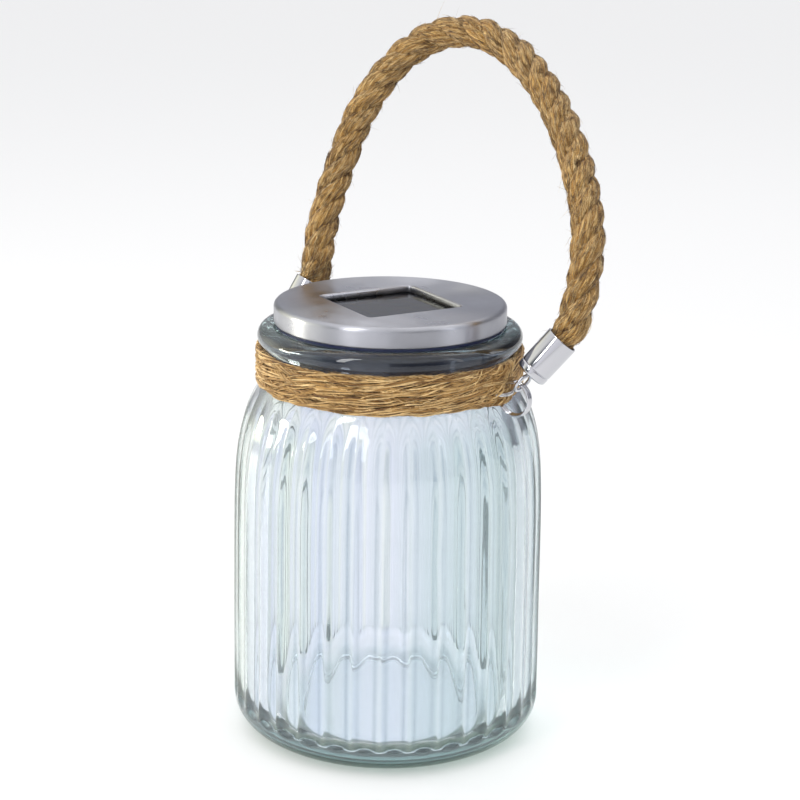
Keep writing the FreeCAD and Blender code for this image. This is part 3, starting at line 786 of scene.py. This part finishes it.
def loose_yarns(name, count, length, radius, slope, seed, around=None, lift=0.0):
    """Loosely spun yarns over the turns. slope is how steeply they climb and its spread."""
    draw = np.random.default_rng(seed)
    rings = 13
    t = np.linspace(0, 1, rings)[None, :]
    low, high = around or (0, 2 * math.pi)
    size = draw.uniform(*length, count)[:, None]
    start = draw.uniform(low, high, count)[:, None]
    angle = start + (t - 0.5) * size / TWINE_MID_R
    middle = draw.uniform(TWINE_LOW_Z - 1.3, TWINE_TOP_Z + 1.2, count)[:, None]
    z = middle + (t - 0.5) * size * draw.normal(*slope, count)[:, None]
    z = z + 0.35 * noise_1d(t * 2.5 + 7 * start, seed + 1)
    z = np.clip(z, TWINE_LOW_Z - 1.6, TWINE_TOP_Z + 1.5)
    thick = draw.uniform(*radius, count)[:, None]
    out = band_radius(z) + lift + 0.3 * thick + 0.22 * noise_1d(t * 4 + 5 * start, seed + 2)
    out = out - (1.2 + lift) * np.abs(2 * t - 1) ** 4
    centre = polar(out, angle, z)
    away = polar(1.0, angle, 0.0)
    taper = np.sqrt(np.clip(1.02 - np.abs(2 * t - 1) ** 4, 0, 1))
    tubes = hair_tubes(centre, away, thick * taper, YARN_SIDES)
    tints = np.repeat(draw.random(count) ** 0.8, rings * YARN_SIDES)
    piece = grid_piece(name, tubes, values={"tint": tints})
    return finish_piece(piece, twine_fibre, "jar", "twine_jute")


loose_yarns("twine_yarns_a", 560, (9, 26), (0.14, 0.34), (0.10, 0.07), 61)
loose_yarns("twine_yarns_b", 520, (5, 15), (0.10, 0.22), (0.16, 0.14), 64)
loose_yarns("twine_knots", 170, (3, 9), (0.08, 0.2), (0.3, 0.7), 67, (math.radians(-16), math.radians(14)))
# Yarns that bind each ring to the band, and others that cover its inner side.
for side, turn in AROUND.items():
    bound, covered = (turn - 0.10, turn + 0.09), (turn - 0.07, turn + 0.06)
    loose_yarns("twine_lashing_" + side, 130, (4, 9), (0.12, 0.3), (0.7, 0.5), 71, bound, 0.8)
    loose_yarns("twine_cover_" + side, 90, (4, 8), (0.12, 0.26), (0.9, 0.7), 72, covered, 1.9)

# ---------- metal fittings


def metal_material(name, color, roughness, grain=(1, 1, 1), depth=0.02, turn=0.0, **sockets):
    """Polished or brushed metal. grain stretches the marks, and depth is their height in millimetres."""
    shade = Shade(name, color, roughness, Metallic=1.0, **sockets)
    marks = shade.noise(shade.coords(grain, turn), 900.0, 4.0, 0.6)
    smears = shade.noise(shade.coords(), 55.0, 3.0)
    low, high = roughness * 0.75, min(1.0, roughness * 1.3)
    shade.drive("Roughness", shade.ramp(smears, (0.35, low), (0.7, high)))
    shade.drive("Normal", shade.bump(marks, depth, 0.5))
    if "Anisotropic" in sockets:
        shade.drive("Tangent", shade.node("ShaderNodeTangent", direction_type="RADIAL", axis="Z").outputs[0])
    return shade.material


EYE_LOOP_R = 3.4
EYE_WIRE_R = 0.66
nickel = metal_material("bright_plate", (0.57, 0.57, 0.60), 0.09, depth=0.01)


def ferrule_piece(side):
    """The cup on the rope's end, with a groove near its foot."""
    foot = eye_point(side) + ferrule_axis(side) * FERRULE_START
    r = FERRULE_R
    outline = rounded([
        (0.3, 0.0, 0),
        (r - 0.15, 0.0, 0.9),
        (r - 0.1, 2.45, 0.35),
        (r - 0.45, 2.75, 0.2),
        (r - 0.1, 3.05, 0.35),
        (r, FERRULE_LEN, 0.3),
        (FERRULE_BORE_R, FERRULE_LEN, 0.2),
        (FERRULE_BORE_R, 1.6, 0.3),
        (0.3, 1.4, 0),
    ])
    rings = turned_rings(outline, 72, foot, ferrule_axis(side))
    piece = grid_piece("ferrule_cup_" + side, rings[None])
    return finish_piece(piece, nickel, "handle", "bright_plate", "ferrule_" + side)


def wire_rings(points, radius, side, corners=20):
    """Rings of a round wire along points, with a steady side direction."""
    line = Line(points, side)
    s = np.linspace(0, line.length, len(points))
    centre, _, out, across = line.frame(s)
    return centre[:, None] + spokes(corners, out[:, None], across[:, None]) * np.reshape(radius, (-1, 1, 1))


def eye_piece(side):
    """The wire loop under a ferrule. Its two ends meet at the foot and go in as the shank."""
    axis = ferrule_axis(side)
    across = np.cross(axis, (0, 1, 0))
    flat = np.cross(across, axis)
    centre = eye_point(side) + axis * EYE_DROP[side]
    angle = np.linspace(0.17, 2 * np.pi - 0.17, 90)[:, None]
    loop = centre + EYE_LOOP_R * (np.cos(angle) * axis + np.sin(angle) * unit(flat))
    reach = FERRULE_START - EYE_DROP[side] + 0.6
    first = np.array([centre + axis * t + unit(flat) * 0.35 for t in np.linspace(reach, 3.7, 5)])
    last = np.array([centre + axis * t - unit(flat) * 0.35 for t in np.linspace(3.7, reach, 5)])
    rings = wire_rings(catmull(np.vstack([first, loop[::6], last]), 5), EYE_WIRE_R, across)
    piece = grid_piece("eye_loop_" + side, rings[None])
    return finish_piece(piece, nickel, "handle", "bright_plate", "ferrule_eye_" + side)


RING_R = 5.8
RING_WIRE_R = 0.6
RING_TURNS_APART = 1.16
# The slope from a ring's middle up to where the eye hangs.
RING_SLOPE = math.radians(67)
# Where the wire starts, facing the jar, and how far its two ends are sunk in the twine.
RING_START = math.radians(184)
RING_SUNK = 1.1


def ring_piece(side):
    """A key ring: a wire that goes round twice and ends beside itself."""
    turn = AROUND[side]
    out = polar(1.0, turn, 0.0)
    across = np.array([-math.sin(turn), math.cos(turn), 0])
    centre = out * (EYE_REACH[side] - RING_R * math.cos(RING_SLOPE))
    centre[2] = PIVOT_Z - RING_R * math.sin(RING_SLOPE)
    angle = np.linspace(0, 4 * np.pi - 0.25, 220)[:, None] + RING_START
    part = np.linspace(0, 2, 220)
    step = np.where(part < 1, smoothstep(0.86, 1.0, part), 1.0)
    slide = (step * RING_TURNS_APART - RING_TURNS_APART / 2)[:, None]
    points = centre + RING_R * (np.cos(angle) * out + np.sin(angle) * np.array([0, 0, 1.0])) + slide * across
    near_end = np.minimum(part, 2 - part)
    points = points - RING_SUNK * (1 - smoothstep(0, 0.11, near_end))[:, None] * out
    thin = RING_WIRE_R * np.sqrt(smoothstep(-0.002, 0.03, near_end))
    rings = wire_rings(points, thin, across)
    piece = grid_piece("key_ring_" + side, rings[None])
    return finish_piece(piece, nickel, "jar", "bright_plate", "split_ring_" + side)


for name in EYE_REACH:
    ferrule_piece(name)
    eye_piece(name)
    ring_piece(name)

# ---------- lid cap

LID_TURN = math.radians(-20.15)
WINDOW_HALF = 18.3
WINDOW_SHARPNESS = 22
CAP_SHEET = 0.6
CAP_EDGE_R = 1.8
CAP_CORNERS = 384


def square_reach(angle, half, sharpness):
    """How far a rounded square's edge is from its centre, at each angle."""
    across, along = np.abs(np.cos(angle - LID_TURN)), np.abs(np.sin(angle - LID_TURN))
    return half / (across**sharpness + along**sharpness) ** (1 / sharpness)


def cap_piece():
    """The pressed cap: window wall, soft lip, flat top, rolled edge, side, and its inner faces."""
    low, high = cad_mm("lid_cap")
    outer_r = (high[0] - low[0]) / 2
    top, foot = high[2], low[2]
    angle = 2 * np.pi * np.arange(CAP_CORNERS) / CAP_CORNERS
    rings = []

    def add(offset, blend, z, radius=0.0):
        square = square_reach(angle, WINDOW_HALF + offset, WINDOW_SHARPNESS)
        reach = square * (1 - blend) + radius * blend
        rings.append(polar(reach, angle, z))

    def arc(middle, size, start, end, mode, steps=7):
        for turn in np.radians(np.linspace(start, end, steps)):
            if mode == "window":
                add(middle[0] + size * math.cos(turn), 0, middle[1] + size * math.sin(turn))
            else:
                add(0, 1, middle[1] + size * math.sin(turn), middle[0] + size * math.cos(turn))

    wall_low = top - 2.4
    add(0, 0, wall_low)
    add(0, 0, top - 1.2)
    arc((0.9, top - 0.9), 0.9, 180, 90, "window")
    for blend in (0.06, 0.14, 0.26, 0.4, 0.55, 0.7, 0.84, 0.94):
        add(0.9, blend, top, outer_r - CAP_EDGE_R)
    arc((outer_r - CAP_EDGE_R, top - CAP_EDGE_R), CAP_EDGE_R, 90, 0, "edge", 12)
    add(0, 1, foot + 0.5, outer_r)
    arc((outer_r - CAP_SHEET / 2, foot + CAP_SHEET / 2), CAP_SHEET / 2, 0, -180, "edge", 7)
    arc((outer_r - CAP_EDGE_R, top - CAP_EDGE_R), CAP_EDGE_R - CAP_SHEET, 0, 90, "edge", 7)
    for blend in (0.8, 0.5, 0.2):
        add(1.2, blend, top - CAP_SHEET, outer_r - CAP_EDGE_R)
    arc((1.2, top - 1.2), CAP_SHEET, 90, 180, "window", 5)
    add(CAP_SHEET, 0, wall_low)
    rings.append(rings[0])
    return np.array(rings)


def closed_grid(name, rings):
    """A ring-shaped surface whose last ring is its first one."""
    count, corners, _ = rings[:-1].shape
    faces = []
    for i in range(count):
        here, there = i * corners, (i + 1) % count * corners
        for j in range(corners):
            on = (j + 1) % corners
            faces.append((here + j, here + on, there + on, there + j))
    return link_mesh(name, rings[:-1], faces)


cap_steel = metal_material(
    "cap_steel", (0.46, 0.465, 0.505), 0.36, grain=(1, 0.02, 1), depth=0.008, turn=0.6,
    Anisotropic=0.85, Anisotropic_Rotation=0.25,
)
finish_piece(closed_grid("cap", cap_piece()), cap_steel, "lid", "cap_steel", "lid_cap")

# ---------- materials of the carried CAD parts


def plastic(name, color, roughness, grain=700.0, depth=0.03, **sockets):
    """Moulded plastic with a fine texture and faint patches of gloss."""
    shade = Shade(name, color, roughness, **sockets)
    fine = shade.noise(shade.coords(), grain, 3.0)
    patches = shade.noise(shade.coords(), 60.0, 2.0)
    darker = tuple(0.85 * c for c in color)
    shade.drive("Base Color", shade.ramp(patches, (0.3, darker), (0.7, color)))
    shade.drive("Roughness", shade.ramp(patches, (0.3, roughness * 0.85), (0.7, min(1, roughness * 1.15))))
    shade.drive("Normal", shade.bump(fine, depth, 0.5))
    return shade.material


# The cell's printed lines, in metres: half the thin ones' pitch, the wide ones' place and half their width.
THIN_LINE_GAP = 0.0012
WIDE_LINE_AT = 0.0095
WIDE_LINE_HALF = 0.0004
# Half the pitch of the coil's winding, in metres.
WINDING_STEP = 0.00012


def cell_material():
    """A dark cell with thin printed collector lines and wide ones across them."""
    shade = Shade("cell_silicon", (0.03, 0.035, 0.10), 0.3, Coat_Weight=0.3)
    coords = shade.coords((1, 1, 1), -LID_TURN)
    axes = shade.node("ShaderNodeSeparateXYZ", {"Vector": coords})
    fine = shade.maths("PINGPONG", axes.outputs["X"], THIN_LINE_GAP)
    thin = shade.ramp(shade.maths("MULTIPLY", fine, 1000.0), (0.06, 1.0), (0.12, 0.0))
    wide = shade.maths("COMPARE", shade.maths("PINGPONG", axes.outputs["Y"], WIDE_LINE_AT), WIDE_LINE_AT)
    wide.node.inputs[2].default_value = WIDE_LINE_HALF
    grains = shade.node("ShaderNodeTexVoronoi", {"Vector": coords, "Scale": 300.0}).outputs["Color"]
    tone = shade.mix(0.35, (0.11, 0.115, 0.27, 1), grains, "MULTIPLY")
    lined = shade.mix(shade.maths("MAXIMUM", thin, wide), tone, (0.11, 0.11, 0.17, 1))
    shade.drive("Base Color", lined)
    return shade.material


def resin_material():
    """The clear layer over the cell, with uneven gloss."""
    shade = Shade("cell_resin", (0.93, 0.94, 0.97), 0.06, IOR=1.5, Transmission_Weight=1.0)
    smears = shade.noise(shade.coords(), 70.0, 3.0)
    shade.drive("Roughness", shade.ramp(smears, (0.35, 0.03), (0.7, 0.12)))
    shade.drive("Normal", shade.bump(shade.noise(shade.coords(), 120.0, 2.0), 0.02, 0.3))
    return shade.material


def wound_material(name, color):
    """Fine copper wire wound in level turns, with painted shade in the creases between the turns."""
    shade = Shade(name, color, 0.3, Metallic=1.0)
    axes = shade.node("ShaderNodeSeparateXYZ", {"Vector": shade.coords()})
    turns = shade.maths("PINGPONG", axes.outputs["Z"], WINDING_STEP)
    height = shade.maths("MULTIPLY", turns, 8000.0)
    # Painted shade: darker where one turn meets the next.
    shade.drive("Base Color", shade.ramp(height, (0.0, tuple(0.4 * c for c in color)), (0.6, color)))
    shade.drive("Normal", shade.bump(height, 0.1, 0.7))
    return shade.material


def lamp_material():
    """The lamp's resin, slightly warm and cloudy."""
    shade = Shade("lamp_resin", (0.95, 0.95, 0.88), 0.08, IOR=1.5, Transmission_Weight=0.85)
    clouds = shade.noise(shade.coords(), 500.0, 2.0)
    shade.drive("Base Color", shade.ramp(clouds, (0.3, (0.9, 0.9, 0.78)), (0.7, (0.97, 0.97, 0.94))))
    return shade.material


black = plastic("chip_black", (0.015, 0.015, 0.017), 0.45)
CARRIED = {
    "neck_wire": metal_material("neck_steel", (0.62, 0.61, 0.60), 0.25, depth=0.02),
    "cell_tray": plastic("tray_plastic", (0.012, 0.013, 0.02), 0.4),
    "solar_cell": cell_material(),
    "cell_resin": resin_material(),
    "tray_screws": metal_material("screw_steel", (0.7, 0.7, 0.7), 0.3),
    "lid_housing": plastic("housing_plastic", (0.010, 0.019, 0.075), 0.33),
    "lid_seal": plastic("seal_rubber", (0.035, 0.037, 0.05), 0.6, Specular_IOR_Level=0.35),
    "circuit_board": plastic("board_green", (0.02, 0.13, 0.05), 0.35),
    "driver_chip": black,
    "choke_coil": wound_material("coil_copper", (0.72, 0.34, 0.16)),
    "led_lamp": lamp_material(),
    "battery_cell": plastic("battery_sleeve", (0.07, 0.23, 0.10), 0.3, grain=200.0),
    "contact_positive": metal_material("contact_plate", (0.83, 0.79, 0.70), 0.22),
    "battery_door": plastic("door_plastic", (0.014, 0.017, 0.04), 0.42),
    "switch_body": plastic("switch_black", (0.02, 0.02, 0.022), 0.4),
    "switch_knob": plastic("knob_black", (0.03, 0.03, 0.033), 0.5),
    "cell_lead_pos": plastic("lead_red", (0.42, 0.02, 0.018), 0.4),
    "cell_lead_neg": plastic("lead_black", (0.018, 0.018, 0.02), 0.4),
}
CARRIED["contact_negative"] = CARRIED["contact_positive"]
CARRIED["battery_lead_pos"] = CARRIED["cell_lead_pos"]
CARRIED["battery_lead_neg"] = CARRIED["cell_lead_neg"]
for name, material in CARRIED.items():
    mesh = CAD[name].data
    mesh.materials.clear()
    mesh.materials.append(material)

# ---------- floor and light


def flat_disc(name, radius, z, material, corners=96):
    """The floor, in metres, which isn't part of the object."""
    angle = 2 * np.pi * np.arange(corners) / corners
    mesh = bpy.data.meshes.new(name)
    mesh.from_pydata(polar(radius, angle, z).tolist(), [], [list(range(corners))])
    mesh.materials.append(material)
    floor = add_object(name, mesh)


def soft_light(name, target, azimuth, elevation, distance, size, power, color=(1, 1, 1)):
    """A soft light that looks at the target. Azimuth 0 is straight in front, and angles are in degrees."""
    data = bpy.data.lights.new(name, "AREA")
    data.shape = "RECTANGLE"
    data.size, data.size_y = size
    data.energy = power
    data.color = color
    a, e = math.radians(azimuth), math.radians(elevation)
    back = np.array([math.sin(a) * math.cos(e), -math.cos(a) * math.cos(e), math.sin(e)])
    light = add_object(name, data)
    light.matrix_world = (
        Matrix.Translation(np.array(target) + back * distance)
        @ Matrix.Rotation(a, 4, "Z")
        @ Matrix.Rotation(math.pi / 2 - e, 4, "X")
    )


# The studio's walls: degrees round from the camera's side, anticlockwise seen from above, and colour.
WALLS = [
    (0, (0.30, 0.31, 0.34)), (18, (0.05, 0.05, 0.06)), (46, (0.06, 0.06, 0.08)),
    (60, (0.66, 0.69, 0.75)), (88, (0.58, 0.61, 0.68)), (104, (0.08, 0.08, 0.10)),
    (150, (0.22, 0.22, 0.25)), (182, (0.50, 0.51, 0.56)), (212, (0.24, 0.25, 0.24)),
    (235, (1.5, 1.48, 1.2)), (282, (1.4, 1.39, 1.2)), (298, (0.20, 0.22, 0.22)),
    (316, (0.14, 0.15, 0.17)), (328, (1.1, 1.1, 1.15)), (346, (0.95, 0.95, 1.0)),
]


def make_world():
    """A pale ceiling over walls with bright and dark panels, for steel and glass to reflect."""
    world = bpy.data.worlds.new("studio")
    bpy.context.scene.world = world
    world.use_nodes = True
    tree = world.node_tree

    direction = add_node(tree, "ShaderNodeTexCoord").outputs["Generated"]
    turn = {"Vector": direction, "Rotation": (0, 0, -CAMERA_SIDE)}
    turned = add_node(tree, "ShaderNodeVectorRotate", turn, rotation_type="EULER_XYZ")
    axes = add_node(tree, "ShaderNodeSeparateXYZ", {"Vector": turned.outputs[0]})
    ahead, aside, up = axes.outputs["X"], axes.outputs["Y"], axes.outputs["Z"]
    angle = add_node(tree, "ShaderNodeMath", {0: aside, 1: ahead}, operation="ARCTAN2").outputs[0]
    part = add_node(tree, "ShaderNodeMath", {0: angle, 1: 1 / (2 * math.pi)}, operation="MULTIPLY").outputs[0]
    around = add_node(tree, "ShaderNodeMath", {0: part, 1: 1.0}, operation="FLOORED_MODULO").outputs[0]
    walls = add_ramp(tree, around, *((degrees / 360, color) for degrees, color in WALLS))
    ceiling = add_ramp(tree, up, (0.45, (0.80, 0.81, 0.84)), (0.8, (1.12, 1.12, 1.12)))
    rise = add_ramp(tree, up, (0.34, 0), (0.62, 1))
    sky = add_node(tree, "ShaderNodeMix", {0: rise, 6: walls, 7: ceiling}, data_type="RGBA")
    tree.links.new(sky.outputs[2], tree.nodes["Background"].inputs["Color"])
    tree.nodes["Background"].inputs["Strength"].default_value = 1.0


FLOOR_R = 8.0
# A hair below the jar's base, so that the two faces don't fight.
FLOOR_Z = -0.0002
white = Shade("floor_white", (0.93, 0.93, 0.94), 0.9, Specular_IOR_Level=0.1)
flat_disc("floor", FLOOR_R, FLOOR_Z, white.material)
make_world()
LIT = (0, 0, 0.10)
soft_light("key", LIT, CAMERA_TURN - 42, 40, 1.2, (0.16, 1.0), 3.9)
soft_light("fill", LIT, CAMERA_TURN + 62, 30, 1.3, (0.12, 1.0), 0.6, (0.97, 0.98, 1.0))
soft_light("edge", LIT, CAMERA_TURN - 98, 9, 0.9, (0.22, 0.16), 2.1, (1.0, 0.97, 0.80))
soft_light("back", LIT, CAMERA_TURN + 160, 55, 1.5, (1.0, 0.6), 1.2)
bpy.context.scene.view_settings.view_transform = "Standard"
